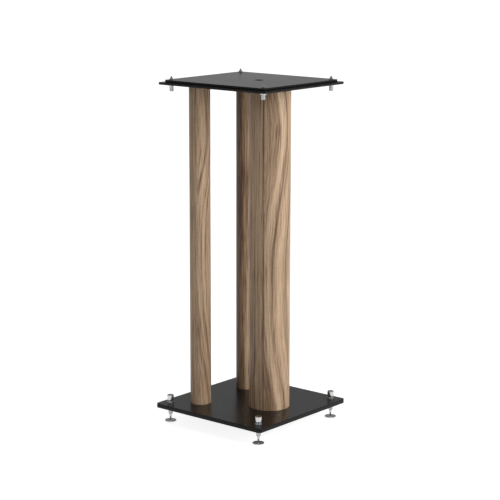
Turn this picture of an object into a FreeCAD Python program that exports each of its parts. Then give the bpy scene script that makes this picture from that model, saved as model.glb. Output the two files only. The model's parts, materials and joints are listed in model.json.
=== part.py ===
import FreeCAD, Part
import os
from types import SimpleNamespace

import Sketcher

# Speaker stand with three columns. A square base plate stands on four levelling spikes in floor
# discs. One thick column at the front and two thin ones at the rear carry two stacked top plates.
# The lower plate is screwed to the columns, and the upper one covers those screws and is clamped to
# it by four upright spikes with lock nuts, on which the speaker rests.
#
# Frame: origin on the floor below the middle of the base plate, +Z up, the stand's front towards -Y,
# millimetres at real size.

SHEET = "Sizes"

# Driving dimensions: alias, value, what it measures.
DIMENSIONS = (
    ("floor_gap", 25.7, "floor to the underside of the base plate"),
    ("base_side", 240.0, "side of the square base plate"),
    ("base_thickness", 7.5, "base plate"),
    ("plate_corner", 6.0, "corner radius of all three plates"),
    ("edge_break", 0.4, "small chamfer along the plates' rims"),
    ("column_height", 565.0, "base plate to lower top plate"),
    ("front_diameter", 71.2, "front column over its veneer"),
    ("rear_diameter", 36.8, "rear columns over their veneer"),
    ("front_setout", 42.3, "front column's axis, in front of the middle"),
    ("rear_setout_side", 62.7, "rear columns' axes, to either side of the middle"),
    ("rear_setout_back", 63.5, "rear columns' axes, behind the middle"),
    ("veneer", 0.6, "wood veneer round a column's tube"),
    ("tube_wall", 1.2, "steel tube inside a column"),
    ("plug_thickness", 12.0, "steel plug in each end of a tube"),
    ("top_width", 219.0, "lower top plate, side to side"),
    ("top_depth", 237.4, "lower top plate, front to back"),
    ("top_step", 7.8, "lower plate showing all round the upper one"),
    ("top_thickness", 4.0, "each top plate"),
    ("fill_radius", 8.0, "hole for filling the front column"),
    ("fill_setout", 16.6, "fill hole's axis, in front of the middle"),
    ("thread_radius", 4.0, "spikes' thread, over its crests"),
    ("thread_play", 0.05, "radial play of a spike in its tapped holes"),
    ("clearance_radius", 4.5, "spike's hole in the lower top plate"),
    ("foot_setout", 101.3, "levelling spikes' axes, from the middle either way"),
    ("disc_radius", 10.25, "floor disc"),
    ("disc_thickness", 2.2, "floor disc"),
    ("disc_floor", 1.0, "metal left under the dimple of a floor disc"),
    ("dimple_radius", 2.0, "mouth of the dimple"),
    ("point_radius", 0.3, "blunted point of every spike"),
    ("foot_cone", 12.6, "levelling spike's cone"),
    ("foot_cone_radius", 3.1, "levelling spike's cone at its thick end"),
    ("foot_rod", 23.8, "levelling spike between its cone and its head"),
    ("head_radius", 5.8, "thumb head of a levelling spike"),
    ("head_height", 10.8, "thumb head"),
    ("foot_nut_height", 4.0, "lock nut below the thumb head"),
    ("top_spike_side", 91.8, "top spikes' axes, to either side of the middle"),
    ("top_spike_back", 101.9, "top spikes' axes, in front of and behind the middle"),
    ("top_spike_length", 26.4, "top spike, whole"),
    ("top_spike_rise", 6.6, "top spike's point above the upper plate"),
    ("top_cone", 6.5, "top spike's cone"),
    ("countersink_radius", 5.4, "mouth of a top spike's hole"),
    ("top_nut_radius", 6.0, "lock nut below the top plates"),
    ("top_nut_height", 3.2, "lock nut below the top plates"),
    ("top_nut_rim", 1.7, "straight part of that nut's rim"),
    ("top_nut_foot_radius", 4.7, "that nut's lower face"),
    ("small_chamfer", 0.5, "turned pieces' broken corners"),
    ("bolt_radius", 4.0, "bolt from the base plate into a column"),
    ("bolt_head_radius", 7.8, "its countersunk head"),
    ("bolt_length", 18.0, "its whole length"),
    ("bolt_socket", 5.0, "hexagon socket in its head, across flats"),
    ("screw_radius", 3.0, "screw from the lower top plate into a column"),
    ("screw_head_radius", 5.8, "its countersunk head"),
    ("screw_length", 14.0, "its whole length"),
    ("screw_socket", 4.0, "hexagon socket in its head, across flats"),
    ("socket_depth", 2.2, "every hexagon socket"),
    ("head_play", 0.2, "a countersink is this much wider than its screw head"),
    ("shank_play", 0.3, "a plate's screw hole is this much wider than the shank, radially"),
)

# The four corners, as signs of X and Y.
CORNERS = {
    "front_left": (-1, -1),
    "front_right": (1, -1),
    "rear_left": (-1, 1),
    "rear_right": (1, 1),
}


class Size:
    """A length that knows its number and the sheet expression that drives it."""

    def __init__(self, number, text):
        self.number = number
        self.text = text

    @staticmethod
    def of(value):
        return value if isinstance(value, Size) else Size(float(value), str(value))

    def __add__(self, other):
        other = Size.of(other)
        return Size(self.number + other.number, f"({self.text} + {other.text})")

    def __sub__(self, other):
        other = Size.of(other)
        return Size(self.number - other.number, f"({self.text} - {other.text})")

    def __mul__(self, factor):
        return Size(self.number * factor, f"({self.text} * {factor})")

    def __truediv__(self, divisor):
        return Size(self.number / divisor, f"({self.text} / {divisor})")

    def __neg__(self):
        return self * -1


ZERO = Size(0.0, "0")


def make_sheet(doc):
    """Write the driving dimensions to the sheet and return them as named Size values."""
    sheet = doc.addObject("Spreadsheet::Sheet", SHEET)
    named = {}
    for row, (alias, value, meaning) in enumerate(DIMENSIONS, start=1):
        sheet.set(f"A{row}", meaning)
        sheet.set(f"B{row}", str(value))
        sheet.setAlias(f"B{row}", alias)
        named[alias] = Size(value, f"{SHEET}.{alias}")
    doc.recompute()
    return SimpleNamespace(**named)


# ---- sketches -------------------------------------------------------------------------------------

def new_body(doc, label, place):
    """Start a sub-part with its own label, its origin moved to place (three Size values)."""
    body = doc.addObject("PartDesign::Body", label)
    body.Label = label
    for axis, length in zip("xyz", place):
        body.setExpression(f"Placement.Base.{axis}", length.text)
    return body


def new_sketch(body, name, role, height=ZERO):
    """Put a sketch on one of the body's origin planes, raised along the plane's normal."""
    sketch = body.newObject("Sketcher::SketchObject", f"{body.Label}_{name}")
    plane = next(item for item in body.Origin.OriginFeatures if item.Role == role)
    sketch.AttachmentSupport = (plane, [""])
    sketch.MapMode = "FlatFace"
    sketch.setExpression("AttachmentOffset.Base.z", height.text)
    return sketch


def constrain(sketch, kind, *arguments, length=None):
    """Add a constraint, driven by the sheet when it has a length."""
    if length is None:
        sketch.addConstraint(Sketcher.Constraint(kind, *arguments))
        return
    index = sketch.addConstraint(Sketcher.Constraint(kind, *arguments, length.number))
    sketch.setExpression(f"Constraints[{index}]", length.text)


def pin(sketch, geometry, end, x, y):
    """Fix a point of the geometry at x, y from the sketch's origin."""
    origin = (-1, 1)
    for kind, value, axis in (("DistanceX", x, -2), ("DistanceY", y, -1)):
        if value.number == 0:
            constrain(sketch, "PointOnObject", geometry, end, axis)
        elif value.number > 0:
            constrain(sketch, kind, *origin, geometry, end, length=value)
        else:
            constrain(sketch, kind, geometry, end, *origin, length=-value)


def draw_circle(sketch, x, y, radius):
    centre = FreeCAD.Vector(x.number, y.number, 0)
    circle = sketch.addGeometry(Part.Circle(centre, FreeCAD.Vector(0, 0, 1), radius.number))
    constrain(sketch, "Radius", circle, length=radius)
    pin(sketch, circle, 3, x, y)


def draw_polygon(sketch, corners):
    """Draw a closed outline with straight sides through (x, y) pairs of Size values."""
    points = [FreeCAD.Vector(x.number, y.number, 0) for x, y in corners]
    sides = [
        sketch.addGeometry(Part.LineSegment(start, end))
        for start, end in zip(points, points[1:] + points[:1])
    ]
    for side, following in zip(sides, sides[1:] + sides[:1]):
        constrain(sketch, "Coincident", side, 2, following, 1)
    for side, (x, y) in zip(sides, corners):
        pin(sketch, side, 1, x, y)


def draw_hexagon(sketch, across_flats):
    """Draw a regular hexagon about the origin, two of its sides parallel to X."""
    half_flats = across_flats / 2
    half_corners = across_flats / 3 ** 0.5
    quarter = half_corners / 2
    draw_polygon(sketch, (
        (half_corners, ZERO),
        (quarter, half_flats),
        (-quarter, half_flats),
        (-half_corners, ZERO),
        (-quarter, -half_flats),
        (quarter, -half_flats),
    ))


# ---- features -------------------------------------------------------------------------------------

def pad(body, sketch, height):
    feature = body.newObject("PartDesign::Pad", f"{body.Label}_pad")
    feature.Profile = sketch
    feature.setExpression("Length", height.text)
    body.Document.recompute()
    return feature


def revolve(body, sketch):
    feature = body.newObject("PartDesign::Revolution", f"{body.Label}_turned")
    feature.Profile = sketch
    feature.ReferenceAxis = (sketch, ["V_Axis"])
    feature.Angle = 360.0
    body.Document.recompute()
    return feature


def cut_through(body, sketch):
    """Cut a sketch on the body's lower face up through the whole body."""
    feature = body.newObject("PartDesign::Pocket", f"{sketch.Label}_cut")
    feature.Profile = sketch
    feature.Type = "ThroughAll"
    feature.Reversed = True
    body.Document.recompute()
    return feature


def cut_down(body, sketch, depth):
    """Cut a sketch on the body's upper face down by a depth."""
    feature = body.newObject("PartDesign::Pocket", f"{sketch.Label}_cut")
    feature.Profile = sketch
    feature.setExpression("Length", depth.text)
    body.Document.recompute()
    return feature


def countersunk_holes(body, sketch, shank_radius, head_radius, from_below):
    """Drill the sketch's circles through, with a 90 degree countersink on the sketch's side."""
    body.Document.recompute()
    hole = body.newObject("PartDesign::Hole", f"{sketch.Label}_drilled")
    hole.Profile = sketch
    body.Document.recompute()
    hole.Reversed = from_below
    hole.DepthType = "ThroughAll"
    hole.Threaded = False
    hole.setExpression("Diameter", (shank_radius * 2).text)
    hole.HoleCutType = "Countersink"
    hole.HoleCutCustomValues = True
    hole.setExpression("HoleCutDiameter", (head_radius * 2).text)
    hole.HoleCutCountersinkAngle = 90.0
    body.Document.recompute()
    return hole


def round_corners(body, radius):
    """Round the upright corners of a plate."""
    base = body.Tip
    edges = [
        f"Edge{number}" for number, edge in enumerate(base.Shape.Edges, start=1)
        if abs(edge.Vertexes[0].Z - edge.Vertexes[-1].Z) > 1e-6
    ]
    feature = body.newObject("PartDesign::Fillet", f"{body.Label}_corners")
    feature.Base = (base, edges)
    feature.setExpression("Radius", radius.text)
    body.Document.recompute()
    return feature


def break_rims(body, size):
    """Chamfer every level edge of a plate that has no holes yet."""
    base = body.Tip
    edges = [
        f"Edge{number}" for number, edge in enumerate(base.Shape.Edges, start=1)
        if edge.BoundBox.ZLength < 1e-6
    ]
    feature = body.newObject("PartDesign::Chamfer", f"{body.Label}_rims")
    feature.Base = (base, edges)
    feature.setExpression("Size", size.text)
    body.Document.recompute()
    return feature


# ---- forms that several pieces share --------------------------------------------------------------

def rounded_plate(doc, size, label, width, depth, thickness, height):
    """A plate with rounded corners, its middle above the frame's origin at the given height."""
    body = new_body(doc, label, (ZERO, ZERO, height))
    outline = new_sketch(body, "outline", "XY_Plane")
    right = width / 2
    back = depth / 2
    draw_polygon(outline, ((-right, -back), (right, -back), (right, back), (-right, back)))
    pad(body, outline, thickness)
    round_corners(body, size.plate_corner)
    break_rims(body, size.edge_break)
    return body


def corner_circles(sketch, side, back, radius):
    for sign_x, sign_y in CORNERS.values():
        draw_circle(sketch, side * sign_x, back * sign_y, radius)


def column_circles(sketch, columns, radius):
    for column in columns.values():
        draw_circle(sketch, column.x, column.y, radius)


def ring(doc, label, place, outer, inner, height):
    """An upright tube standing on its place."""
    body = new_body(doc, label, place)
    section = new_sketch(body, "section", "XY_Plane")
    draw_circle(section, ZERO, ZERO, outer)
    draw_circle(section, ZERO, ZERO, inner)
    pad(body, section, height)
    return body


def turned(doc, label, place, profile):
    """A lathe piece from its half profile, (radius, height) pairs round its upright axis."""
    body = new_body(doc, label, place)
    half = new_sketch(body, "profile", "XZ_Plane")
    draw_polygon(half, profile)
    revolve(body, half)
    return body


def countersunk_bolt(doc, label, place, shank, head, length, socket, depth, head_up):
    """A countersunk bolt whose head face lies at its place, with the shank below it or above it."""
    body = new_body(doc, label, place)
    half = new_sketch(body, "profile", "XZ_Plane")
    way = -1 if head_up else 1
    end_chamfer = shank / 5
    draw_polygon(half, (
        (ZERO, ZERO),
        (head, ZERO),
        (shank, (head - shank) * way),
        (shank, (length - end_chamfer) * way),
        (shank - end_chamfer, length * way),
        (ZERO, length * way),
    ))
    revolve(body, half)
    hexagon = new_sketch(body, "socket", "XY_Plane")
    draw_hexagon(hexagon, socket)
    recess = cut_down(body, hexagon, depth)
    recess.Reversed = not head_up
    doc.recompute()
    return body


# ---- the stand ------------------------------------------------------------------------------------

def layout(size):
    """Levels of the plates and the axes of the three columns."""
    base_top = size.floor_gap + size.base_thickness
    lower_plate = base_top + size.column_height
    upper_plate = lower_plate + size.top_thickness
    columns = {
        "front": SimpleNamespace(x=ZERO, y=-size.front_setout, radius=size.front_diameter / 2),
        "rear_left": SimpleNamespace(
            x=-size.rear_setout_side, y=size.rear_setout_back, radius=size.rear_diameter / 2),
        "rear_right": SimpleNamespace(
            x=size.rear_setout_side, y=size.rear_setout_back, radius=size.rear_diameter / 2),
    }
    return SimpleNamespace(
        base_top=base_top,
        lower_plate=lower_plate,
        upper_plate=upper_plate,
        top=upper_plate + size.top_thickness,
        columns=columns,
    )


def base_plate(doc, size, levels):
    """Square plate, tapped for the levelling spikes and countersunk below for the columns' bolts."""
    body = rounded_plate(doc, size, "base_plate", size.base_side, size.base_side,
                         size.base_thickness, size.floor_gap)
    tapped = new_sketch(body, "tapped_holes", "XY_Plane")
    corner_circles(tapped, size.foot_setout, size.foot_setout,
                   size.thread_radius + size.thread_play)
    cut_through(body, tapped)
    bolts = new_sketch(body, "bolt_holes", "XY_Plane")
    column_circles(bolts, levels.columns, size.bolt_radius + size.shank_play)
    countersunk_holes(body, bolts, size.bolt_radius + size.shank_play,
                      size.bolt_head_radius + size.head_play, from_below=True)


def lower_top_plate(doc, size, levels):
    """Plate screwed to the columns, with clear holes for the spikes and the fill hole."""
    body = rounded_plate(doc, size, "lower_top_plate", size.top_width, size.top_depth,
                         size.top_thickness, levels.lower_plate)
    clear = new_sketch(body, "clear_holes", "XY_Plane")
    corner_circles(clear, size.top_spike_side, size.top_spike_back, size.clearance_radius)
    draw_circle(clear, ZERO, -size.fill_setout, size.fill_radius)
    cut_through(body, clear)
    screws = new_sketch(body, "screw_holes", "XY_Plane", size.top_thickness)
    column_circles(screws, levels.columns, size.screw_radius + size.shank_play)
    countersunk_holes(body, screws, size.screw_radius + size.shank_play,
                      size.screw_head_radius + size.head_play, from_below=False)


def upper_top_plate(doc, size, levels):
    """Smaller plate over the screws, tapped and countersunk for the spikes, with the fill hole."""
    body = rounded_plate(doc, size, "upper_top_plate", size.top_width - size.top_step * 2,
                         size.top_depth - size.top_step * 2, size.top_thickness,
                         levels.upper_plate)
    fill = new_sketch(body, "fill_hole", "XY_Plane")
    draw_circle(fill, ZERO, -size.fill_setout, size.fill_radius)
    cut_through(body, fill)
    tapped = new_sketch(body, "tapped_holes", "XY_Plane", size.top_thickness)
    tapped_radius = size.thread_radius + size.thread_play
    corner_circles(tapped, size.top_spike_side, size.top_spike_back, tapped_radius)
    countersunk_holes(body, tapped, tapped_radius, size.countersink_radius, from_below=False)


def column(doc, size, levels, name):
    """A veneered steel tube with a plug, a base bolt and a top screw at its ends."""
    axis = levels.columns[name]
    foot = (axis.x, axis.y, levels.base_top)
    tube_radius = axis.radius - size.veneer
    bore = tube_radius - size.tube_wall
    ring(doc, f"{name}_column_veneer", foot, axis.radius, tube_radius, size.column_height)
    ring(doc, f"{name}_column_tube", foot, tube_radius, bore, size.column_height)
    ring(doc, f"{name}_column_bottom_plug", foot, bore, size.bolt_radius, size.plug_thickness)
    plug_height = levels.lower_plate - size.plug_thickness
    top_plug = ring(doc, f"{name}_column_top_plug", (axis.x, axis.y, plug_height), bore,
                    size.screw_radius, size.plug_thickness)
    if name == "front":
        notch_top_plug(top_plug, size)
    countersunk_bolt(doc, f"{name}_column_base_bolt", (axis.x, axis.y, size.floor_gap),
                     size.bolt_radius, size.bolt_head_radius, size.bolt_length,
                     size.bolt_socket, size.socket_depth, head_up=False)
    countersunk_bolt(doc, f"{name}_column_top_screw", (axis.x, axis.y, levels.upper_plate),
                     size.screw_radius, size.screw_head_radius, size.screw_length,
                     size.screw_socket, size.socket_depth, head_up=True)


def notch_top_plug(plug, size):
    """Open the plug's rim below the fill hole, a little wider than the hole."""
    notch = new_sketch(plug, "notch", "XY_Plane")
    half_width = size.fill_radius + size.shank_play
    near = size.front_setout - size.fill_setout
    far = size.front_diameter / 2
    draw_polygon(notch, ((-half_width, near), (half_width, near),
                         (half_width, far), (-half_width, far)))
    cut_through(plug, notch)
    mouth = new_sketch(plug, "notch_end", "XY_Plane")
    draw_circle(mouth, ZERO, near, half_width)
    cut_through(plug, mouth)


def foot(doc, size, levels, corner):
    """Floor disc, levelling spike and lock nut at one corner of the base plate."""
    sign_x, sign_y = CORNERS[corner]
    x = size.foot_setout * sign_x
    y = size.foot_setout * sign_y
    chamfer = size.small_chamfer
    dimple_floor = size.point_radius + chamfer / 5

    turned(doc, f"floor_disc_{corner}", (x, y, ZERO), (
        (ZERO, ZERO),
        (size.disc_radius - chamfer / 2, ZERO),
        (size.disc_radius, chamfer / 2),
        (size.disc_radius, size.disc_thickness - chamfer),
        (size.disc_radius - chamfer, size.disc_thickness),
        (size.dimple_radius, size.disc_thickness),
        (dimple_floor, size.disc_floor),
        (ZERO, size.disc_floor),
    ))

    rod_start = size.foot_cone + (size.thread_radius - size.foot_cone_radius)
    head_start = size.foot_cone + size.foot_rod
    head_end = head_start + size.head_height
    turned(doc, f"levelling_spike_{corner}", (x, y, size.disc_floor), (
        (ZERO, ZERO),
        (size.point_radius, ZERO),
        (size.foot_cone_radius, size.foot_cone),
        (size.thread_radius, rod_start),
        (size.thread_radius, head_start),
        (size.head_radius - chamfer, head_start),
        (size.head_radius, head_start + chamfer),
        (size.head_radius, head_end - chamfer),
        (size.head_radius - chamfer, head_end),
        (ZERO, head_end),
    ))

    bore = size.thread_radius + size.thread_play
    turned(doc, f"foot_lock_nut_{corner}", (x, y, levels.base_top), (
        (bore, ZERO),
        (size.head_radius - chamfer / 2, ZERO),
        (size.head_radius, chamfer / 2),
        (size.head_radius, size.foot_nut_height - chamfer),
        (size.head_radius - chamfer, size.foot_nut_height),
        (bore, size.foot_nut_height),
    ))


def top_spike(doc, size, levels, corner):
    """Spike through the top plates and the lock nut below them at one corner."""
    sign_x, sign_y = CORNERS[corner]
    x = size.top_spike_side * sign_x
    y = size.top_spike_back * sign_y
    length = size.top_spike_length
    low_end = levels.top + size.top_spike_rise - length
    turned(doc, f"top_spike_{corner}", (x, y, low_end), (
        (ZERO, ZERO),
        (size.thread_radius - size.small_chamfer, ZERO),
        (size.thread_radius, size.small_chamfer),
        (size.thread_radius, length - size.top_cone),
        (size.point_radius, length),
        (ZERO, length),
    ))

    bore = size.thread_radius + size.thread_play
    height = size.top_nut_height
    turned(doc, f"top_lock_nut_{corner}", (x, y, levels.lower_plate - height), (
        (bore, ZERO),
        (size.top_nut_foot_radius, ZERO),
        (size.top_nut_radius, height - size.top_nut_rim),
        (size.top_nut_radius, height),
        (bore, height),
    ))


def check(doc):
    """Stop on a failed feature, a broken shape or a cut that removes nothing."""
    for item in doc.Objects:
        if "Invalid" in item.State or "Error" in item.State:
            raise RuntimeError(f"{item.Label} is {item.State}")
        base = getattr(item, "BaseFeature", None)
        trims = item.isDerivedFrom("PartDesign::Feature") and item.TypeId in (
            "PartDesign::Pocket", "PartDesign::Hole", "PartDesign::Fillet", "PartDesign::Chamfer")
        if trims and base.Shape.Volume - item.Shape.Volume < 1e-3:
            raise RuntimeError(f"{item.Label} removes nothing")
    for body in bodies(doc):
        shape = body.Shape
        if shape.isNull() or not shape.isValid() or len(shape.Solids) != 1:
            raise RuntimeError(f"{body.Label} is not one valid solid")


def bodies(doc):
    return [item for item in doc.Objects if item.TypeId == "PartDesign::Body"]


def build():
    doc = FreeCAD.newDocument("speaker_stand")
    size = make_sheet(doc)
    levels = layout(size)
    base_plate(doc, size, levels)
    lower_top_plate(doc, size, levels)
    upper_top_plate(doc, size, levels)
    for name in levels.columns:
        column(doc, size, levels, name)
    for corner in CORNERS:
        foot(doc, size, levels, corner)
        top_spike(doc, size, levels, corner)
    doc.recompute()
    check(doc)

    os.makedirs("parts", exist_ok=True)
    for body in bodies(doc):
        body.Shape.exportStep(f"parts/{body.Label}.step")
        print(f"{body.Label}: {body.Shape.Volume / 1000:.2f} cm3")


build()
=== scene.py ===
import json
import logging
import math
from dataclasses import dataclass, field
from enum import Enum
from typing import Sequence

import bmesh
import bpy
from mathutils import Matrix, Vector

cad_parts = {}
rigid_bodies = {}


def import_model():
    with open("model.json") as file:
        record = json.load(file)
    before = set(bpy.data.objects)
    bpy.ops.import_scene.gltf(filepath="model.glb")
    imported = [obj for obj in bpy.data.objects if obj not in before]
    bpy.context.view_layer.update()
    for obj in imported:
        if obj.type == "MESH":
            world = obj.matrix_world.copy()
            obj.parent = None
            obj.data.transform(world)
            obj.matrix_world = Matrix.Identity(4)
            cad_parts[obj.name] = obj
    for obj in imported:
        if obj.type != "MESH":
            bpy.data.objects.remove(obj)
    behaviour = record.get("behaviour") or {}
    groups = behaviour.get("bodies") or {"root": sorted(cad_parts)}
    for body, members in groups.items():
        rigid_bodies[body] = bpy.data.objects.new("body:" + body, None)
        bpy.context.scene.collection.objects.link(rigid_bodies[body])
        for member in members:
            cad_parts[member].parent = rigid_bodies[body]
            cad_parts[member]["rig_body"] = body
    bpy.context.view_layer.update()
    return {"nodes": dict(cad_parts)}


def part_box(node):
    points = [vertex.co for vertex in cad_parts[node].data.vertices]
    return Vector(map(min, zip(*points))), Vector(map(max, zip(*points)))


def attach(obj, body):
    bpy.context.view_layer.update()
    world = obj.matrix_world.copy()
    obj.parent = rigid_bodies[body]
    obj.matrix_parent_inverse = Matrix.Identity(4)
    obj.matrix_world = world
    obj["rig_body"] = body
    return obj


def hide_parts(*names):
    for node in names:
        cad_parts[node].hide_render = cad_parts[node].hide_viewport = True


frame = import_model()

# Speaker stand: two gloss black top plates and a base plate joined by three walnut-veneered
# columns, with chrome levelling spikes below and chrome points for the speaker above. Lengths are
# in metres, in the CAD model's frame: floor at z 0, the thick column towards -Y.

log = logging.getLogger("speaker_stand")

GRAIN_MAP = "grain"
RING_ATTRIBUTE = "ring"

UP = (0.0, 0.0, 1.0)
CENTRE = (0.0, 0.0, 0.0)
FULL_TURN = 2 * math.pi
WELD = 1e-6  # Points nearer than this become one.
LEVEL = 2e-6  # Heights nearer than this are one level.
CUT = 1e-8  # Points nearer than this to a cutting plane lie on it.
ROUND_STEPS = 3
CORNER_STEPS = 10
FACES_UP = 0.97  # Normals more upright than this: a plate's top and bottom,
FLAT = 0.999  # the parts of a slab that are left open,
SHADED_FLAT = 0.9999  # and faces without smooth shading.

# An ISO thread, in pitches: its depth, and where the flank, crest and next flank start.
THREAD_DEPTH = 0.5413
THREAD_FLANKS = (0.25, 0.5625, 0.6875)
THREAD_LEAD = 1.5  # How far below the rod it starts, to be cut off again.
THREAD_SPARE = 2  # Turns beyond the rod's length.

NOISE_MEAN = 0.5
CURVE_MIDDLE = 0.5

Number = float | int
Pair = tuple[float, float]
Profile = Sequence[Pair]
Socket = bpy.types.NodeSocket
Material = bpy.types.Material
Input = Number | tuple | Socket


class Slot(Enum):
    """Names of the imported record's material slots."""

    GLOSS_BLACK = "gloss_black"
    WALNUT = "walnut_veneer"
    CHROME = "chrome"


class Corner(Enum):
    """The stand's four corners, as the CAD nodes name them."""

    FRONT_LEFT = "front_left"
    FRONT_RIGHT = "front_right"
    REAR_LEFT = "rear_left"
    REAR_RIGHT = "rear_right"


class Post(Enum):
    """The three columns, as the CAD nodes name them."""

    FRONT = "front"
    REAR_LEFT = "rear_left"
    REAR_RIGHT = "rear_right"


def srgb(red: Number, green: Number, blue: Number) -> tuple[float, float, float, float]:
    """Turn a colour as it looks on a screen into the linear colour that shaders take.

    Args:
        red: Red, from 0 to 255.
        green: Green, from 0 to 255.
        blue: Blue, from 0 to 255.

    Returns:
        The linear colour with full alpha.
    """
    linear = []
    for value in (red / 255, green / 255, blue / 255):
        linear.append(value / 12.92 if value <= 0.04045 else ((value + 0.055) / 1.055) ** 2.4)
    return (*linear, 1.0)


def grey(value: float) -> tuple[float, float, float, float]:
    """Give a linear grey with full alpha."""
    return (value, value, value, 1.0)


@dataclass(frozen=True)
class Place:
    """Where a CAD node stands: its upright axis and its lowest and highest level."""

    x: float
    y: float
    low: float
    high: float

    @staticmethod
    def of(node: str) -> "Place":
        """Read a node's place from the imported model, its axis to a tenth of a millimetre."""
        low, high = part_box(node)
        x, y = (round((low[axis] + high[axis]) / 2, 4) for axis in (0, 1))
        return Place(x, y, low.z, high.z)


# ---- materials --------------------------------------------------------------------------------

class Graph:
    """The nodes of one material, wired by short calls."""

    def __init__(self, name: str) -> None:
        """Start an empty material.

        Args:
            name: The material's name.
        """
        self.material = bpy.data.materials.new(name)
        self.material.use_nodes = True
        self.tree = self.material.node_tree
        self.tree.nodes.clear()

    def add(self, kind: str, inputs: dict[str | int, Input] | None = None,
            **settings: str | bool) -> bpy.types.Node:
        """Add a node.

        Args:
            kind: Blender's name for the node's type.
            inputs: Values, or sockets to link, by input name or number.
            **settings: The node's own settings.

        Returns:
            The new node.
        """
        node = self.tree.nodes.new(kind)
        for key, value in settings.items():
            setattr(node, key, value)
        for key, value in (inputs or {}).items():
            if isinstance(value, Socket):  # Linked; anything else is a constant.
                self.tree.links.new(value, node.inputs[key])
            else:
                node.inputs[key].default_value = value
        return node

    def math(self, operation: str, first: Input, second: Input) -> Socket:
        """Combine two values by one of Blender's named operations."""
        return self.add("ShaderNodeMath", {0: first, 1: second}, operation=operation).outputs[0]

    def remap(self, value: Input, start: float, end: float, low: float, high: float,
              smooth: bool = False) -> Socket:
        """Map start to end on to low to high, held at both ends, and eased if smooth."""
        kind = "SMOOTHSTEP" if smooth else "LINEAR"
        return self.add("ShaderNodeMapRange", {0: value, 1: start, 2: end, 3: low, 4: high},
                        interpolation_type=kind).outputs[0]

    def noise(self, vector: Socket, scale: float, detail: float = 2.0,
              roughness: float = 0.5) -> Socket:
        """Add soft noise from 0 to 1. Roughness is how strong its finer octaves are."""
        return self.add("ShaderNodeTexNoise", {"Vector": vector, "Scale": scale, "Detail": detail,
                                               "Roughness": roughness}).outputs[0]

    def combine(self, x: Input, y: Input, z: Input) -> Socket:
        """Make a vector of three values."""
        return self.add("ShaderNodeCombineXYZ", {0: x, 1: y, 2: z}).outputs[0]

    def ramp(self, value: Socket, stops: Sequence[tuple[float, tuple]]) -> Socket:
        """Colour a value.

        Args:
            value: The value, from 0 to 1.
            stops: Positions and their colours, in rising order.

        Returns:
            The colour's socket.
        """
        node = self.add("ShaderNodeValToRGB", {0: value})
        elements = node.color_ramp.elements
        while len(elements) < len(stops):
            elements.new(1.0)
        for element, (position, colour) in zip(elements, stops):
            element.position = position
            element.color = colour
        return node.outputs[0]

    def mix(self, amount: Input, first: Input, second: Input) -> Socket:
        """Blend two colours, with the second's share from 0 to 1."""
        return self.add("ShaderNodeMix", {0: amount, 6: first, 7: second},
                        data_type="RGBA").outputs[2]

    def bump(self, height: Socket, distance: float, below: Socket | None = None) -> Socket:
        """Raise the surface by a pattern.

        Args:
            height: The pattern, from 0 to 1.
            distance: How high 1 stands, in metres.
            below: The normal of a coarser pattern under it.

        Returns:
            The normal's socket.
        """
        inputs: dict[str | int, Input] = {"Height": height, "Distance": distance, "Strength": 1.0}
        if below is not None:
            inputs["Normal"] = below
        return self.add("ShaderNodeBump", inputs).outputs[0]

    def surface(self, **inputs: Input) -> Material:
        """Finish the material with a Principled shader.

        Args:
            **inputs: The shader's inputs, with underscores for the spaces in their names.

        Returns:
            The finished material.
        """
        named = {key.replace("_", " "): value for key, value in inputs.items()}
        shader = self.add("ShaderNodeBsdfPrincipled", named)
        self.add("ShaderNodeOutputMaterial", {"Surface": shader.outputs[0]})
        return self.material

    def place(self, x: float = 0.0, y: float = 0.0) -> Socket:
        """Give object coordinates, centred on an upright axis."""
        spot = self.add("ShaderNodeTexCoord").outputs["Object"]
        inputs = {"Vector": spot, "Location": (-x, -y, 0.0)}
        return self.add("ShaderNodeMapping", inputs).outputs[0]

    def split(self, vector: Socket) -> tuple[Socket, ...]:
        """Take a vector apart into x, y and z."""
        return tuple(self.add("ShaderNodeSeparateXYZ", {0: vector}).outputs)


@dataclass(frozen=True)
class Lacquer:
    """Gloss black lacquer sprayed on steel plate. Scales are features per metre."""

    name: str
    roughness: float
    specular: float
    peel: float
    colour: tuple = srgb(17, 17, 17)
    dust_colour: tuple = srgb(70, 68, 66)
    peel_scale: float = 420.0
    peel_fineness: float = 0.45
    wipe_scale: float = 9.0
    wipe_range: Pair = (0.30, 0.75)
    dust_scale: float = 2600.0
    dust_range: Pair = (0.74, 0.80)
    dust_tone: float = 0.20
    dust_haze: float = 0.04
    clearest: float = 0.95
    haziest: float = 1.07
    ior: float = 1.5

    def material(self) -> Material:
        """Make the lacquer, with orange peel, faint wipe marks and a little dust in it.

        Returns:
            The finished material.
        """
        graph = Graph(self.name)
        where = graph.place()
        peel = graph.noise(where, self.peel_scale, roughness=self.peel_fineness)
        wipes = graph.noise(where, self.wipe_scale)
        dust = graph.remap(graph.noise(where, self.dust_scale, 1.0), *self.dust_range, 0.0, 1.0)
        tone = graph.mix(graph.math("MULTIPLY", dust, self.dust_tone), self.colour,
                         self.dust_colour)
        haze = graph.remap(wipes, *self.wipe_range, self.roughness * self.clearest,
                           self.roughness * self.haziest)
        roughness = graph.math("ADD", haze, graph.math("MULTIPLY", dust, self.dust_haze))
        return graph.surface(Base_Color=tone, Roughness=roughness, IOR=self.ior,
                             Specular_IOR_Level=self.specular,
                             Normal=graph.bump(peel, self.peel))


@dataclass(frozen=True)
class Layer:
    """One layer of grain: noise drawn out along the wood, with lines and runs per metre."""

    lines: float
    runs: float
    offset: float
    weight: float
    detail: float = 2.0
    fineness: float = 0.55


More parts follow.
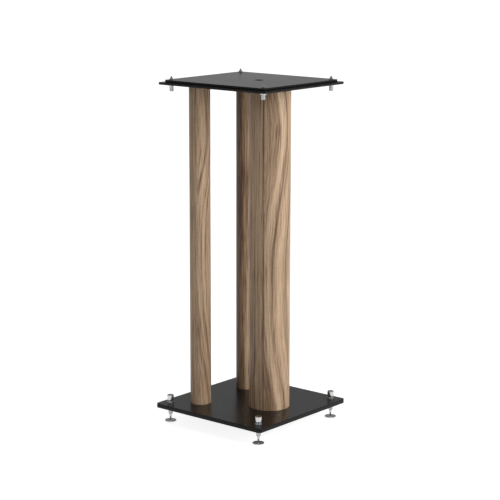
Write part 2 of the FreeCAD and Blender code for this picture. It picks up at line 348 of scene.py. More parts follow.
WANDER = Layer(lines=55.0, runs=4.0, offset=0.0, weight=0.004)
BOARD = Layer(lines=30.0, runs=3.0, offset=3.1, weight=0.45, detail=1.0)
STREAKS = Layer(lines=300.0, runs=6.0, offset=7.7, weight=0.75, detail=3.0)
FIBRES = Layer(lines=900.0, runs=18.0, offset=11.3, weight=1.00, detail=3.0)
FLECKS = Layer(lines=460.0, runs=20.0, offset=23.9, weight=0.19)
PORES = Layer(lines=3400.0, runs=130.0, offset=17.9, weight=0.50, detail=1.0)
WOOD_TONES = ((0.08, srgb(98, 74, 56)), (0.24, srgb(124, 98, 77)), (0.38, srgb(152, 125, 100)),
              (0.50, srgb(179, 149, 120)), (0.64, srgb(201, 170, 139)),
              (0.82, srgb(220, 191, 159)))
PORE_COLOUR = srgb(82, 60, 45)


@dataclass(frozen=True)
class Veneer:
    """Satin-lacquered walnut veneer wrapped round a column.

    Bands are distances round the column from its seam, with how light the wood is there, and on
    the rear right column painted shade as well. Where the figure is, they sway aside with height.
    """

    name: str
    seed: float
    girth: float
    figure_start: float
    figure_full: float
    sway: tuple[Pair, ...]
    straight: tuple[Pair, ...]
    figured: tuple[Pair, ...]
    # How light the wood is overall. On the rear right column it is lowered as painted shade.
    lightness: float = 0.23
    sway_span: float = 0.08
    low: float = 0.0332
    high: float = 0.5982
    band_weight: float = 0.62
    fine_sway: float = 0.35
    fleck_range: Pair = (0.55, 0.68)
    pore_range: Pair = (0.62, 0.72)
    fibre_range: Pair = (0.3, 0.7)
    fibre_depth: float = 0.00002
    pore_depth: float = 0.00003
    roughness_between: float = 0.56
    roughness_on_fibres: float = 0.46
    specular: float = 0.35

    def material(self) -> Material:
        """Make the veneer: banded grain, finer streaks, flecks and fibres in it, and open pores.

        Returns:
            The finished material.
        """
        graph = Graph(self.name)
        grain_map = graph.add("ShaderNodeUVMap", uv_map=GRAIN_MAP).outputs[0]
        across, along, _ = graph.split(grain_map)
        share = graph.remap(across, self.figure_start, self.figure_full, 0.0, 1.0, smooth=True)
        shift = graph.math("MULTIPLY", share, self.drift(graph, along))
        swayed = graph.math("SUBTRACT", across, shift)
        where = (swayed, along)
        upright = (graph.math("ADD", graph.math("MULTIPLY", swayed, self.fine_sway),
                              graph.math("MULTIPLY", across, 1.0 - self.fine_sway)), along)

        wander = graph.math("SUBTRACT", self.grain(graph, where, WANDER), NOISE_MEAN)
        wander = graph.math("MULTIPLY", wander, WANDER.weight)
        straight = self.bands(graph, graph.math("ADD", across, wander), self.straight)
        figured = self.bands(graph, graph.math("ADD", swayed, wander), self.figured)
        board = self.grain(graph, where, BOARD)
        streaks = self.grain(graph, where, STREAKS)
        fibres = self.grain(graph, upright, FIBRES)
        flecks = graph.remap(self.grain(graph, upright, FLECKS), *self.fleck_range, 0.0, 1.0)
        pores = graph.remap(self.grain(graph, upright, PORES), *self.pore_range, 0.0, 1.0)

        bands = graph.mix(share, straight, figured)
        light = graph.math("MULTIPLY", bands, self.band_weight)
        for noise, layer in ((board, BOARD), (streaks, STREAKS), (fibres, FIBRES)):
            change = graph.math("SUBTRACT", noise, NOISE_MEAN)
            light = graph.math("ADD", light, graph.math("MULTIPLY", change, layer.weight))
        light = graph.math("SUBTRACT", light, graph.math("MULTIPLY", flecks, FLECKS.weight))
        tone = graph.ramp(graph.math("ADD", light, self.lightness), WOOD_TONES)
        tone = graph.mix(graph.math("MULTIPLY", pores, PORES.weight), tone, PORE_COLOUR)

        roughness = graph.remap(fibres, *self.fibre_range, self.roughness_between,
                                self.roughness_on_fibres)
        relief = graph.bump(fibres, self.fibre_depth)
        relief = graph.bump(graph.math("SUBTRACT", 1.0, pores), self.pore_depth, relief)
        return graph.surface(Base_Color=tone, Roughness=roughness,
                             Specular_IOR_Level=self.specular, Normal=relief)

    def grain(self, graph: Graph, where: tuple[Socket, Socket], layer: Layer) -> Socket:
        """Add one layer of grain.

        Args:
            graph: The material's nodes.
            where: Distance across the grain and along it.
            layer: The layer.

        Returns:
            A value from 0 to 1.
        """
        across, along = where
        spot = graph.combine(graph.math("MULTIPLY", across, layer.lines),
                             graph.math("MULTIPLY", along, layer.runs), self.seed + layer.offset)
        return graph.noise(spot, 1.0, layer.detail, layer.fineness)

    def drift(self, graph: Graph, along: Socket) -> Socket:
        """Say how far the figure sways aside at a height.

        Args:
            graph: The material's nodes.
            along: Height above the floor.

        Returns:
            The sway, in metres.
        """
        height = graph.remap(along, self.low, self.high, 0.0, 1.0)
        node = graph.add("ShaderNodeFloatCurve", {1: height})
        curve = node.mapping.curves[0]
        while len(curve.points) < len(self.sway):
            curve.points.new(CURVE_MIDDLE, CURVE_MIDDLE)
        for point, (position, shift) in zip(curve.points, self.sway):
            point.location = (position, CURVE_MIDDLE + shift / self.sway_span)
        node.mapping.update()
        sway = graph.math("SUBTRACT", node.outputs[0], CURVE_MIDDLE)
        return graph.math("MULTIPLY", sway, self.sway_span)

    def bands(self, graph: Graph, across: Socket, stops: Sequence[Pair]) -> Socket:
        """Lay bands side by side, given in millimetres round the column and lightness."""
        greys = [(place / 1000 / self.girth, grey(light)) for place, light in stops]
        return graph.ramp(graph.math("DIVIDE", across, self.girth), greys)


@dataclass(frozen=True)
class Chrome:
    """Polished or satin chrome on turned steel. Scales are features per metre."""

    name: str = "polished_chrome"
    colour: tuple = (0.55, 0.556, 0.554, 1.0)
    handled_colour: tuple = (0.46, 0.46, 0.455, 1.0)
    roughness: float = 0.07
    clearest: float = 0.7
    haziest: float = 1.8
    haze_scale: float = 160.0
    haze_fineness: float = 0.6
    haze_range: Pair = (0.35, 0.75)
    handled_range: Pair = (0.5, 0.8)
    handled: float = 0.25
    mark_scale: float = 7000.0
    mark_depth: float = 0.0000006

    def material(self) -> Material:
        """Make the chrome, with fine turning marks round each piece's axis and handling haze.

        Returns:
            The finished material.
        """
        graph = Graph(self.name)
        ring = graph.add("ShaderNodeAttribute", attribute_name=RING_ATTRIBUTE).outputs["Fac"]
        path = graph.combine(graph.math("MULTIPLY", ring, self.mark_scale), 0.0, 0.0)
        marks = graph.noise(path, 1.0)
        haze = graph.noise(graph.place(), self.haze_scale, 3.0, self.haze_fineness)
        roughness = graph.remap(haze, *self.haze_range, self.roughness * self.clearest,
                                self.roughness * self.haziest)
        tone = graph.mix(graph.remap(haze, *self.handled_range, 0.0, self.handled), self.colour,
                         self.handled_colour)
        return graph.surface(Base_Color=tone, Metallic=1.0, Roughness=roughness,
                             Normal=graph.bump(marks, self.mark_depth))


@dataclass(frozen=True)
class Steel:
    """Plain or blackened steel, drawn along its length or turned round its axis.

    Scales are features per metre, and parts are the pieces of a column that have this finish.
    """

    name: str
    colour: tuple
    roughness: float
    turned: bool
    parts: tuple[str, ...]
    turned_scale: float = 3500.0
    drawn_scale: float = 2500.0
    drawn_runs: float = 12.0
    mark_range: Pair = (0.3, 0.7)
    mark_depth: float = 0.000004
    smoothest: float = 0.8
    roughest: float = 1.2
    oil_scale: float = 60.0
    oil_fineness: float = 0.6
    oil_range: Pair = (0.45, 0.75)
    oil_share: float = 0.5
    oil_shade: float = 0.6

    def material(self, post: Post, place: Place) -> Material:
        """Make the steel, with its tool marks and a trace of oil.

        Args:
            post: The column that it is for.
            place: The column's place.

        Returns:
            The finished material.
        """
        graph = Graph(f"{post.value}_{self.name}")
        where = graph.place(place.x, place.y)
        x, y, z = graph.split(where)
        if self.turned:
            out = graph.add("ShaderNodeVectorMath", {0: graph.combine(x, y, 0.0)},
                            operation="LENGTH").outputs["Value"]
            lines = graph.combine(graph.math("MULTIPLY", out, self.turned_scale),
                                  graph.math("MULTIPLY", z, self.turned_scale), 0.0)
        else:
            lines = graph.combine(graph.math("MULTIPLY", x, self.drawn_scale),
                                  graph.math("MULTIPLY", y, self.drawn_scale),
                                  graph.math("MULTIPLY", z, self.drawn_runs))
        marks = graph.noise(lines, 1.0, 3.0)
        oil = graph.noise(where, self.oil_scale, 3.0, self.oil_fineness)
        oily = (*(channel * self.oil_shade for channel in self.colour[:3]), 1.0)
        tone = graph.mix(graph.remap(oil, *self.oil_range, 0.0, self.oil_share), self.colour, oily)
        roughness = graph.remap(marks, *self.mark_range, self.roughness * self.smoothest,
                                self.roughness * self.roughest)
        return graph.surface(Base_Color=tone, Metallic=1.0, Roughness=roughness,
                             Normal=graph.bump(marks, self.mark_depth))


STEELS = (
    Steel("drawn_steel", srgb(150, 148, 145), 0.38, turned=False, parts=("tube",)),
    Steel("turned_steel", srgb(140, 139, 138), 0.32, turned=True,
          parts=("bottom_plug", "top_plug")),
    Steel("blackened_steel", srgb(52, 51, 53), 0.42, turned=True,
          parts=("base_bolt", "top_screw")),
)


# ---- making pieces ----------------------------------------------------------------------------

@dataclass
class Workpiece:
    """A mesh on the bench, which becomes one named piece of the stand."""

    name: str
    mesh: bmesh.types.BMesh = field(default_factory=bmesh.new)
    sharp_angle: float = math.radians(38)

    def take(self, part: bmesh.types.BMesh) -> None:
        """Add a finished part to the piece and put the part away.

        Args:
            part: The part's mesh.
        """
        data = bpy.data.meshes.new("part")
        part.to_mesh(data)
        part.free()
        self.mesh.from_mesh(data)
        bpy.data.meshes.remove(data)

    def turn(self, profile: Profile, x: float, y: float, rounding: float = 0.0, steps: int = 72,
             closed: bool = False, sweep: float = FULL_TURN, start: float = 0.0) -> None:
        """Turn a half profile round an upright axis.

        Args:
            profile: Radius and height of each corner.
            x: The axis.
            y: The axis.
            rounding: How far each corner is rounded back.
            steps: Flats round the piece.
            closed: Join the last corner to the first.
            sweep: The angle turned through.
            start: The angle at which it starts, from +X.
        """
        part = bmesh.new()
        corners = [part.verts.new((radius, 0.0, height)) for radius, height in profile]
        following = corners[1:] + (corners[:1] if closed else [])
        for first, second in zip(corners, following):
            part.edges.new((first, second))
        if rounding:
            bmesh.ops.bevel(part, geom=corners if closed else corners[1:-1], offset=rounding,
                            offset_type="OFFSET", segments=ROUND_STEPS, profile=0.5,
                            affect="VERTICES", material=-1, clamp_overlap=True)
        turned = Matrix.Rotation(start, 3, "Z")
        bmesh.ops.rotate(part, verts=part.verts, cent=CENTRE, matrix=turned)
        whole = math.isclose(sweep, FULL_TURN)
        bmesh.ops.spin(part, geom=part.verts[:] + part.edges[:], cent=CENTRE, axis=UP,
                       angle=sweep, steps=steps, use_merge=whole)
        bmesh.ops.remove_doubles(part, verts=part.verts, dist=WELD)
        if not whole:
            ends = [edge for edge in part.edges if edge.is_boundary]
            bmesh.ops.holes_fill(part, edges=ends, sides=0)
        bmesh.ops.translate(part, verts=part.verts, vec=(x, y, 0))
        self.take(part)

    def thread(self, x: float, y: float, crest: float, pitch: float, low: float, high: float,
               limits: Profile, steps: int = 40) -> None:
        """Cut a right-hand thread on a rod and turn it down to a profile.

        Args:
            x: The rod's axis.
            y: The rod's axis.
            crest: Radius over the crests.
            pitch: Advance in one turn.
            low: The rod's lower end.
            high: The rod's upper end.
            limits: Radius and height of the profile that nothing stands beyond, upwards.
            steps: Flats in one turn.
        """
        root = crest - THREAD_DEPTH * pitch
        rise, top, fall = THREAD_FLANKS
        outline = ((root, 0.0), (root, rise), (crest, top), (crest, fall), (root, 1.0))
        turns = math.ceil((high - low) / pitch) + THREAD_SPARE
        part = bmesh.new()
        corners = [part.verts.new((radius, 0.0, low + (share - THREAD_LEAD) * pitch))
                   for radius, share in outline]
        for first, second in zip(corners, corners[1:]):
            part.edges.new((first, second))
        bmesh.ops.spin(part, geom=part.verts[:] + part.edges[:], cent=CENTRE, axis=UP,
                       dvec=(0, 0, pitch / steps), angle=FULL_TURN, steps=steps)
        one_turn = part.verts[:] + part.edges[:] + part.faces[:]
        for turn in range(1, turns):
            copy = bmesh.ops.duplicate(part, geom=one_turn)["geom"]
            raised = [item for item in copy if isinstance(item, bmesh.types.BMVert)]
            bmesh.ops.translate(part, verts=raised, vec=(0, 0, turn * pitch))
        bmesh.ops.remove_doubles(part, verts=part.verts, dist=WELD)
        for vert in part.verts:
            away = vert.co.xy.length
            limit = self.limit_at(limits, vert.co.z)
            if away > limit:
                vert.co.xy *= limit / away
        for height, facing in ((low, -1), (high, 1)):
            whole = part.verts[:] + part.edges[:] + part.faces[:]
            bmesh.ops.bisect_plane(part, geom=whole, dist=CUT, plane_co=(0, 0, height),
                                   plane_no=(0, 0, facing), clear_outer=True)
        bmesh.ops.translate(part, verts=part.verts, vec=(x, y, 0))
        self.take(part)

    @staticmethod
    def limit_at(limits: Profile, height: float) -> float:
        """Read a profile's radius at a height.

        Args:
            limits: Radius and height of each corner, upwards.
            height: Where it is read.

        Returns:
            The radius, held beyond both ends.
        """
        if height <= limits[0][1]:
            return limits[0][0]
        for (radius, bottom), (next_radius, top) in zip(limits, limits[1:]):
            if height <= top:
                return radius + (next_radius - radius) * (height - bottom) / (top - bottom)
        return limits[-1][0]

    def slab(self, low: Vector, high: Vector, corner: float, rim: float) -> None:
        """Make the rounded outside of a plate, open above and below.

        Args:
            low: The plate's lowest corner.
            high: The plate's highest corner.
            corner: Radius of its upright corners.
            rim: Rounding of its upper and lower edges.
        """
        part = bmesh.new()
        bmesh.ops.create_cube(part, size=1.0)
        bmesh.ops.scale(part, verts=part.verts, vec=high - low)
        bmesh.ops.translate(part, verts=part.verts, vec=(low + high) / 2)
        rounded = {"offset_type": "OFFSET", "profile": 0.5, "affect": "EDGES", "material": -1}
        upright = [edge for edge in part.edges if self.rise(edge) > rim]
        bmesh.ops.bevel(part, geom=upright, offset=corner, segments=CORNER_STEPS, **rounded)
        level = [edge for edge in part.edges if self.rise(edge) < LEVEL]
        bmesh.ops.bevel(part, geom=level, offset=rim, segments=ROUND_STEPS, **rounded)
        flats = [face for face in part.faces if abs(face.normal.z) > FLAT]
        bmesh.ops.delete(part, geom=flats, context="FACES_ONLY")
        self.take(part)

    @staticmethod
    def rise(edge: bmesh.types.BMEdge) -> float:
        """Give the height between an edge's two ends."""
        return abs(edge.verts[0].co.z - edge.verts[1].co.z)

    def close_at(self, height: float) -> None:
        """Fill what is open at a level, leaving the rings within it open.

        Args:
            height: The level.
        """
        edges = [edge for edge in self.mesh.edges if edge.is_boundary
                 and all(abs(vert.co.z - height) < LEVEL for vert in edge.verts)]
        bmesh.ops.triangle_fill(self.mesh, use_beauty=True, use_dissolve=False, edges=edges,
                                normal=UP)

    def mark_rings(self, x: float, y: float) -> None:
        """Note on every point how far it is round the lathe's path: out from the axis, and up.

        Args:
            x: The piece's axis.
            y: The piece's axis.
        """
        layer = self.mesh.verts.layers.float.new(RING_ATTRIBUTE)
        for vert in self.mesh.verts:
            vert[layer] = math.hypot(vert.co.x - x, vert.co.y - y) + vert.co.z

    def mount(self, node: str, finishes: Sequence[Material]) -> None:
        """Finish the piece and put it in a CAD node's place.

        Args:
            node: The CAD node that it stands for.
            finishes: Its materials, for the mesh's material numbers.
        """
        bmesh.ops.recalc_face_normals(self.mesh, faces=self.mesh.faces)
        for face in self.mesh.faces:
            face.smooth = abs(face.normal.z) < SHADED_FLAT
        for edge in self.mesh.edges:
            edge.smooth = edge.calc_face_angle(0.0) < self.sharp_angle
        open_edges = sum(not edge.is_manifold for edge in self.mesh.edges)
        data = bpy.data.meshes.new(self.name)
        self.mesh.to_mesh(data)
        self.mesh.free()
        for finish in finishes:
            data.materials.append(finish)
        piece = bpy.data.objects.new(self.name, data)
        bpy.context.scene.collection.objects.link(piece)
        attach(piece, frame["nodes"][node]["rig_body"])
        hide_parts(node)
        log.info("%s: %d faces, %d open edges", self.name, len(data.polygons), open_edges)


def dress(node: str, finish: Material) -> None:
    """Give a CAD node that keeps its own shape its finish.

    Args:
        node: The node.
        finish: The material.
    """
    part = frame["nodes"][node]
    for slot in part.material_slots:
        slot.material = finish
    if not part.material_slots:
        part.data.materials.append(finish)
    log.info("%s: dressed", node)


# ---- the stand's sub-assemblies ---------------------------------------------------------------

@dataclass(frozen=True)
class Bore:
    """A round hole through a plate, countersunk above or below where mouth is wider."""

    x: float
    y: float
    radius: float
    mouth: float
    mouth_up: bool = True

    def profile(self, low: float, high: float, chamfer: float) -> Profile:
        """Give the wall's radius and height from the plate's lower face to its upper face.

        Args:
            low: The plate's lower face.
            high: The plate's upper face.
            chamfer: The small broken edge at the plain end.

        Returns:
            The wall's corners, upwards.
        """
        sink = self.mouth - self.radius
        if self.mouth_up:
            return ((self.radius + chamfer, low), (self.radius, low + chamfer),
                    (self.radius, high - sink), (self.mouth, high))
        return ((self.mouth, low), (self.radius, low + sink),
                (self.radius, high - chamfer), (self.radius + chamfer, high))


@dataclass
class Plates:
    """The base plate and the two top plates."""

    face: Material
    edge: Material
    corner: float = 0.006
    rim: float = 0.0004
    broken: float = 0.0002
    tapped: float = 0.00405
    clear: float = 0.0045
    spike_mouth: float = 0.0054
    bolt_hole: float = 0.0043
    bolt_mouth: float = 0.0080
    screw_hole: float = 0.0033
    screw_mouth: float = 0.0060
    fill: float = 0.0080
    fill_y: float = -0.0166

    def corner_bores(self, node: str, radius: float, mouth: float) -> list[Bore]:
        """Bore a plate for the four spikes of a kind, wider at its upper face."""
        places = [Place.of(f"{node}_{corner.value}") for corner in Corner]
        return [Bore(place.x, place.y, radius, mouth) for place in places]

    def post_bores(self, radius: float, mouth: float, mouth_up: bool) -> list[Bore]:
        """Bore a plate for the columns' screws, whose heads lie above if mouth_up."""
        places = [Place.of(f"{post.value}_column_tube") for post in Post]
        return [Bore(place.x, place.y, radius, mouth, mouth_up) for place in places]

    def build_plate(self, node: str, bores: Sequence[Bore]) -> None:
        """Make one plate.

        Args:
            node: The CAD node that it stands for.
            bores: Its holes.
        """
        low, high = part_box(node)
        piece = Workpiece(f"{node}_lacquered")
        piece.slab(low, high, self.corner, self.rim)
        for bore in bores:
            piece.turn(bore.profile(low.z, high.z, self.broken), bore.x, bore.y, steps=48)
        piece.close_at(low.z)
        piece.close_at(high.z)
        piece.mesh.normal_update()
        for face in piece.mesh.faces:
            face.material_index = 0 if abs(face.normal.z) > FACES_UP else 1
        piece.mount(node, (self.face, self.edge))

    def build(self) -> None:
        """Make all three plates."""
        broken = self.broken
        fill = Bore(0.0, self.fill_y, self.fill, self.fill + broken)
        self.build_plate("base_plate", [
            *self.corner_bores("levelling_spike", self.tapped, self.tapped + broken),
            *self.post_bores(self.bolt_hole, self.bolt_mouth, mouth_up=False),
        ])
        self.build_plate("lower_top_plate", [
            *self.corner_bores("top_spike", self.clear, self.clear + broken),
            *self.post_bores(self.screw_hole, self.screw_mouth, mouth_up=True),
            fill,
        ])
        self.build_plate("upper_top_plate", [
            *self.corner_bores("top_spike", self.tapped, self.spike_mouth),
            fill,
        ])


@dataclass
class Column:
    """One veneered tube with the plugs, bolt and screw that hold it."""

    post: Post
    radius: float
    veneer: Veneer
    thickness: float = 0.0006
    rounding: float = 0.00012
    joint_gap: float = 0.00012
    seam_angle: float = math.pi / 2

    def build_sleeve(self, place: Place) -> None:
        """Wrap the veneer round the tube, with its butt joint towards the rear.

        Args:
            place: The column's place.
        """
        inner = self.radius - self.thickness
        outline = ((inner, place.low), (self.radius, place.low), (self.radius, place.high),
                   (inner, place.high))
        half_gap = self.joint_gap / self.radius / 2
        piece = Workpiece(f"{self.post.value}_column_sleeve")
        piece.turn(outline, place.x, place.y, self.rounding, steps=144, closed=True,
                   sweep=FULL_TURN - 2 * half_gap, start=self.seam_angle + half_gap)
        layer = piece.mesh.loops.layers.uv.new(GRAIN_MAP)
        for face in piece.mesh.faces:
            for loop in face.loops:
                spot = loop.vert.co
                angle = math.atan2(spot.y - place.y, spot.x - place.x) - self.seam_angle
                loop[layer].uv = ((angle % FULL_TURN) * self.radius, spot.z)
        piece.mount(f"{self.post.value}_column_veneer", (self.veneer.material(),))

    def build(self) -> None:
        """Make the sleeve and dress the steel inside it."""
        name = self.post.value
        place = Place.of(f"{name}_column_veneer")
        self.build_sleeve(place)
        for steel in STEELS:
            finish = steel.material(self.post, place)
            for part in steel.parts:
                dress(f"{name}_column_{part}", finish)


COLUMNS = (
    Column(Post.FRONT, 0.0356, Veneer(
        "walnut_front", seed=4.0, girth=0.2237, figure_start=0.0685, figure_full=0.0720,
        sway=((0.0, 0.0185), (0.034, 0.0162), (0.085, 0.0105), (0.161, 0.0027), (0.256, -0.0040),
              (0.381, -0.0065), (0.493, -0.0070), (0.573, -0.0007), (0.636, 0.0040),
              (0.70, 0.0110), (0.778, 0.0187), (0.857, 0.0239), (0.921, 0.0227), (1.0, 0.0137)),
        straight=((0, 0.45), (20, 0.50), (30, 0.42), (37, 0.25), (40, 0.48), (47, 0.58),
                  (51, 0.38), (56, 0.70), (61, 0.55), (66, 0.62), (69, 0.05), (71, 0.30),
                  (75, 0.50), (90, 0.55), (110, 0.40), (135, 0.60), (160, 0.42), (180, 0.58),
                  (205, 0.45), (223, 0.50)),
        figured=((40, 0.35), (55, 0.28), (66, 0.38), (74, 0.45), (78, 0.95), (84, 0.90),
                 (88, 0.55), (91.5, 0.15), (94, 0.50), (100, 0.68), (106, 0.80), (113, 0.60),
                 (119.5, 0.20), (122, 0.50), (132, 0.75), (145, 0.50), (160, 0.60), (175, 0.40),
                 (190, 0.55), (223, 0.50)),
    )),
    Column(Post.REAR_LEFT, 0.0184, Veneer(
        "walnut_rear_left", seed=21.0, girth=0.1156, figure_start=0.0355, figure_full=0.0380,
        sway=((0.0, 0.030), (0.081, 0.025), (0.179, 0.014), (0.228, 0.0106), (0.342, 0.0032),
              (0.505, 0.0), (0.56, 0.0003), (0.625, 0.003), (0.69, 0.010), (0.759, 0.019),
              (0.85, 0.026), (1.0, 0.021)),
        straight=((0, 0.55), (13, 0.48), (17, 0.58), (22, 0.66), (27, 0.52), (30, 0.74),
                  (34, 0.60), (50, 0.60), (65, 0.50), (80, 0.62), (100, 0.52), (115, 0.55)),
        figured=((0, 0.50), (14, 0.62), (24, 0.68), (30, 0.28), (33, 0.58), (38, 0.76),
                 (43.5, 0.28), (46, 0.60), (49, 0.78), (52.3, 0.25), (55, 0.58), (61, 0.74),
                 (68, 0.50), (75, 0.62), (90, 0.50), (105, 0.58), (115, 0.55)),
    )),
    Column(Post.REAR_RIGHT, 0.0184, Veneer(
        "walnut_rear_right", seed=47.0, girth=0.1156, figure_start=0.0635, figure_full=0.0670,
        # Painted shade: darker overall, and darkest 10 to 26 mm round from the seam, on the side
        # towards the rear left column.
        lightness=0.13,
        sway=((0.0, 0.004), (0.30, 0.010), (0.55, 0.0), (0.80, 0.008), (1.0, 0.002)),
        straight=((0, 0.45), (10, 0.10), (20, 0.02), (26, 0.08), (33, 0.30), (39, 0.58),
                  (45, 0.72), (49, 0.50), (56, 0.55), (70, 0.40), (90, 0.55), (115, 0.45)),
        figured=((40, 0.50), (60, 0.60), (66, 0.30), (72, 0.65), (80, 0.45), (86, 0.70),
                 (95, 0.40), (105, 0.55), (115, 0.50)),
    )),
)


@dataclass
class Foot:
    """Floor disc, levelling spike and lock nut at one corner of the base plate."""

    corner: Corner
    chrome: Material
    satin: Material
    rounding: float = 0.00018
    disc_radius: float = 0.01025
    dimple_radius: float = 0.0020
    disc_floor: float = 0.0010
    point_radius: float = 0.0003
    cone_radius: float = 0.0031
    cone_length: float = 0.0126
    rod_radius: float = 0.0040
    rod_length: float = 0.0238
    pitch: float = 0.00125
    head_radius: float = 0.0058
    bore_radius: float = 0.00405
    chamfer: float = 0.0005

    def build_disc(self) -> None:
        """Make the floor disc with the dimple that the spike stands in."""
        node = f"floor_disc_{self.corner.value}"
        place = Place.of(node)
        piece = Workpiece(f"disc_{self.corner.value}")
        radius, top = self.disc_radius, place.high
        piece.turn((
            (0.0, place.low),
            (radius - self.chamfer / 2, place.low),
            (radius, place.low + self.chamfer / 2),
            (radius, top - self.chamfer),
            (radius - self.chamfer, top),
            (self.dimple_radius, top),
            (self.point_radius + self.chamfer / 5, self.disc_floor),
            (0.0, self.disc_floor),
        ), place.x, place.y, rounding=self.chamfer / 6, steps=96)
        piece.mark_rings(place.x, place.y)
        piece.mount(node, (self.chrome,))

    def build_spike(self) -> None:
        """Make the levelling spike: a point, a threaded rod and a thumb head."""
        node = f"levelling_spike_{self.corner.value}"
        place = Place.of(node)
        low, top = place.low, place.high
        shoulder = low + self.cone_length
        rod_start = shoulder + self.rod_radius - self.cone_radius
        head = shoulder + self.rod_length
        limits = ((self.point_radius, low), (self.cone_radius, shoulder),
                  (self.rod_radius, rod_start), (self.rod_radius, head))
        piece = Workpiece(f"levelling_spike_body_{self.corner.value}")
        piece.thread(place.x, place.y, self.rod_radius, self.pitch, low, head, limits)
        radius, chamfer = self.head_radius, self.chamfer
        piece.turn((
            (radius - chamfer, head),
            (radius, head + chamfer),
            (radius, top - chamfer),
            (radius - chamfer, top),
            (0.0, top),
        ), place.x, place.y, self.rounding)
        piece.close_at(low)
        piece.close_at(head)
        piece.mark_rings(place.x, place.y)
        piece.mount(node, (self.chrome,))

    def build_nut(self) -> None:
        """Make the lock nut on the base plate."""
        node = f"foot_lock_nut_{self.corner.value}"
        place = Place.of(node)
        radius, chamfer = self.head_radius, self.chamfer
        piece = Workpiece(f"lock_nut_{self.corner.value}")
        piece.turn((
            (self.bore_radius, place.low),
            (radius - chamfer / 2, place.low),
            (radius, place.low + chamfer / 2),
            (radius, place.high - chamfer),
            (radius - chamfer, place.high),
            (self.bore_radius, place.high),
        ), place.x, place.y, self.chamfer / 6, closed=True)
        piece.mark_rings(place.x, place.y)
        piece.mount(node, (self.satin,))

    def build(self) -> None:
        """Make the three pieces."""
        self.build_disc()
        self.build_spike()
        self.build_nut()


@dataclass
class SpeakerPoint:
    """Upright spike through the top plates and the lock nut below them, at one corner."""

    corner: Corner
    chrome: Material
    rounding: float = 0.00008
    point_radius: float = 0.0003
    rod_radius: float = 0.0040
    cone_length: float = 0.0065
    end_chamfer: float = 0.0005
    pitch: float = 0.00125
    bore_radius: float = 0.00405
    nut_radius: float = 0.0060
    nut_foot: float = 0.0047
    nut_rim: float = 0.0017

    def build_spike(self) -> None:
        """Make the threaded rod with its point and its chamfered lower end."""
        node = f"top_spike_{self.corner.value}"
        place = Place.of(node)
        limits = ((self.rod_radius - self.end_chamfer, place.low),
                  (self.rod_radius, place.low + self.end_chamfer),
                  (self.rod_radius, place.high - self.cone_length),
                  (self.point_radius, place.high))
        piece = Workpiece(f"speaker_point_{self.corner.value}")
        piece.thread(place.x, place.y, self.rod_radius, self.pitch, place.low, place.high, limits)
        piece.close_at(place.low)
        piece.close_at(place.high)
        piece.mark_rings(place.x, place.y)
        piece.mount(node, (self.chrome,))

    def build_nut(self) -> None:
        """Make the tapered lock nut below the plates."""
        node = f"top_lock_nut_{self.corner.value}"
        place = Place.of(node)
        piece = Workpiece(f"clamp_nut_{self.corner.value}")
        piece.turn((
            (self.bore_radius, place.low),
            (self.nut_foot, place.low),
            (self.nut_radius, place.high - self.nut_rim),
            (self.nut_radius, place.high),
            (self.bore_radius, place.high),
        ), place.x, place.y, self.rounding, closed=True)
        piece.mark_rings(place.x, place.y)
        piece.mount(node, (self.chrome,))

    def build(self) -> None:
        """Make the two pieces."""
        self.build_spike()
        self.build_nut()


# ---- studio -----------------------------------------------------------------------------------

@dataclass(frozen=True)
class Softbox:
    """A soft rectangular lamp that faces the stand, and shows in its gloss where mirrored."""

    name: str
    bearing: float
    height: float
    distance: float
    width: float
    tall: float
    power: float
    mirrored: bool = True

    def hang(self, target: Vector) -> None:
        """Hang the lamp.

        Args:
            target: The point that it faces.
        """
        data = bpy.data.lights.new(self.name, "AREA")
        data.shape = "RECTANGLE"
        data.size = self.width
        data.size_y = self.tall
        data.energy = self.power
        lamp = bpy.data.objects.new(self.name, data)
        bearing = math.radians(self.bearing)
        lamp.location = (math.sin(bearing) * self.distance, math.cos(bearing) * self.distance,
                         self.height)
        lamp.rotation_euler = (target - lamp.location).to_track_quat("-Z", "Y").to_euler()
        lamp.visible_camera = False
        lamp.visible_glossy = self.mirrored
        bpy.context.scene.collection.objects.link(lamp)


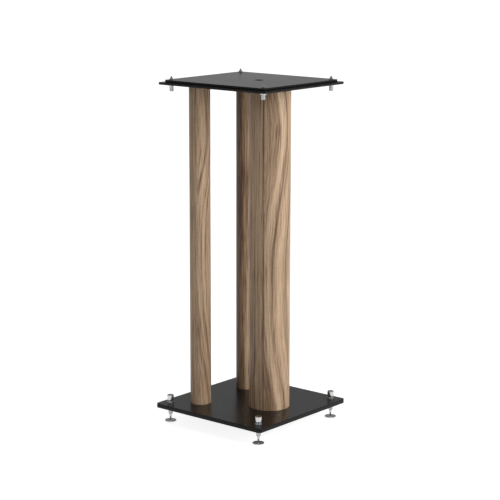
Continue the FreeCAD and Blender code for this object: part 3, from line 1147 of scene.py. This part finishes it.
@dataclass
class Studio:
    """White floor, soft lamps and the camera at the photograph's angle."""

    world_grey: float = 0.29
    skirting_grey: float = 0.64
    pale_below: float = 0.08
    grey_above: float = 0.24
    floor_size: float = 30.0
    bounce_grey: float = 0.35
    shade_grey: float = 0.5
    near: float = 0.4
    far: float = 3.5
    near_glow: float = 0.86
    far_glow: float = 0.96
    aim: Vector = field(default_factory=lambda: Vector((0.0, 0.0, 0.32)))
    camera_place: Vector = field(default_factory=lambda: Vector((-2.20926, -1.84224, 0.89125)))
    camera_bearing: float = 50.137
    camera_pitch: float = 11.470
    camera_roll: float = 0.089
    lens: float = 120.65
    sensor: float = 36.0
    clip_end: float = 100.0
    lamps: tuple[Softbox, ...] = (
        Softbox("key_softbox", bearing=170.0, height=1.1, distance=2.4, width=1.5, tall=1.8,
                power=41.0, mirrored=False),
        Softbox("key_panel", bearing=176.0, height=1.0, distance=2.5, width=1.2, tall=1.8,
                power=5.5),
        Softbox("fill_softbox", bearing=262.0, height=1.3, distance=2.8, width=1.6, tall=1.6,
                power=3.0),
        Softbox("rear_softbox", bearing=52.0, height=1.3, distance=3.0, width=2.0, tall=1.8,
                power=14.0, mirrored=False),
    )

    def lay_floor(self) -> None:
        """Lay the floor: white to the eye and in reflections, and shaded below the stand."""
        mesh = bmesh.new()
        bmesh.ops.create_grid(mesh, x_segments=1, y_segments=1, size=self.floor_size)
        data = bpy.data.meshes.new("studio_floor")
        mesh.to_mesh(data)
        mesh.free()
        data.materials.append(self.floor_finish())
        floor = bpy.data.objects.new("studio_floor", data)
        bpy.context.scene.collection.objects.link(floor)

    def floor_finish(self) -> Material:
        """Make the floor's material.

        Returns:
            The finished material.
        """
        graph = Graph("white_floor")
        path = graph.add("ShaderNodeLightPath").outputs
        seen = graph.math("ADD", path["Is Camera Ray"], path["Is Glossy Ray"])
        seen = graph.math("MINIMUM", graph.math("ADD", seen, path["Is Transmission Ray"]), 1.0)
        reach = graph.add("ShaderNodeVectorMath", {0: graph.place()},
                          operation="LENGTH").outputs["Value"]
        glow = graph.remap(reach, self.near, self.far, self.near_glow, self.far_glow, smooth=True)
        shade = graph.add("ShaderNodeBsdfDiffuse", {"Color": grey(self.shade_grey)})
        light = graph.add("ShaderNodeEmission", {"Strength": glow})
        white = graph.add("ShaderNodeAddShader", {0: shade.outputs[0], 1: light.outputs[0]})
        bounce = graph.add("ShaderNodeBsdfDiffuse", {"Color": grey(self.bounce_grey)})
        mixed = graph.add("ShaderNodeMixShader",
                          {0: seen, 1: bounce.outputs[0], 2: white.outputs[0]})
        graph.add("ShaderNodeOutputMaterial", {"Surface": mixed.outputs[0]})
        return graph.material

    def light_world(self) -> None:
        """Surround the stand with a plain grey room, paler towards the floor."""
        world = bpy.data.worlds.new("grey_room")
        world.use_nodes = True
        tree = world.node_tree
        direction = tree.nodes.new("ShaderNodeTexCoord").outputs["Generated"]
        parts = tree.nodes.new("ShaderNodeSeparateXYZ")
        pale = tree.nodes.new("ShaderNodeMapRange")
        pale.interpolation_type = "SMOOTHSTEP"
        for number, value in enumerate((self.pale_below, self.grey_above, self.skirting_grey,
                                        self.world_grey), start=1):
            pale.inputs[number].default_value = value
        tree.links.new(direction, parts.inputs[0])
        tree.links.new(parts.outputs[2], pale.inputs[0])
        background = tree.nodes["Background"]
        background.inputs["Strength"].default_value = 1.0
        tree.links.new(pale.outputs[0], background.inputs["Color"])
        bpy.context.scene.world = world

    def set_camera(self) -> None:
        """Stand the camera where the photograph was taken from."""
        data = bpy.data.cameras.new("camera")
        data.lens = self.lens
        data.sensor_width = self.sensor
        data.clip_end = self.clip_end
        camera = bpy.data.objects.new("camera", data)
        turn = (Matrix.Rotation(-math.radians(self.camera_bearing), 4, "Z")
                @ Matrix.Rotation(math.radians(90 - self.camera_pitch), 4, "X")
                @ Matrix.Rotation(math.radians(self.camera_roll), 4, "Z"))
        camera.matrix_world = Matrix.Translation(self.camera_place) @ turn
        bpy.context.scene.collection.objects.link(camera)
        bpy.context.scene.camera = camera

    def build(self) -> None:
        """Set up the whole studio."""
        bpy.context.scene.view_settings.view_transform = "Standard"
        self.lay_floor()
        self.light_world()
        for lamp in self.lamps:
            lamp.hang(self.aim)
        self.set_camera()


def main() -> None:
    """Build the stand piece by piece, then its studio."""
    logging.basicConfig(level=logging.INFO, format="%(message)s")
    face = Lacquer("gloss_black_face", roughness=0.28, specular=0.44, peel=0.000001).material()
    edge = Lacquer("gloss_black_edge", roughness=0.34, specular=0.15, peel=0.000002).material()
    chrome = Chrome().material()
    satin = Chrome("satin_chrome", roughness=0.34).material()
    Plates(face, edge).build()
    for column in COLUMNS:
        column.build()
    for corner in Corner:
        Foot(corner, chrome, satin).build()
        SpeakerPoint(corner, chrome).build()
    Studio().build()


if __name__ == "__main__":
    main()
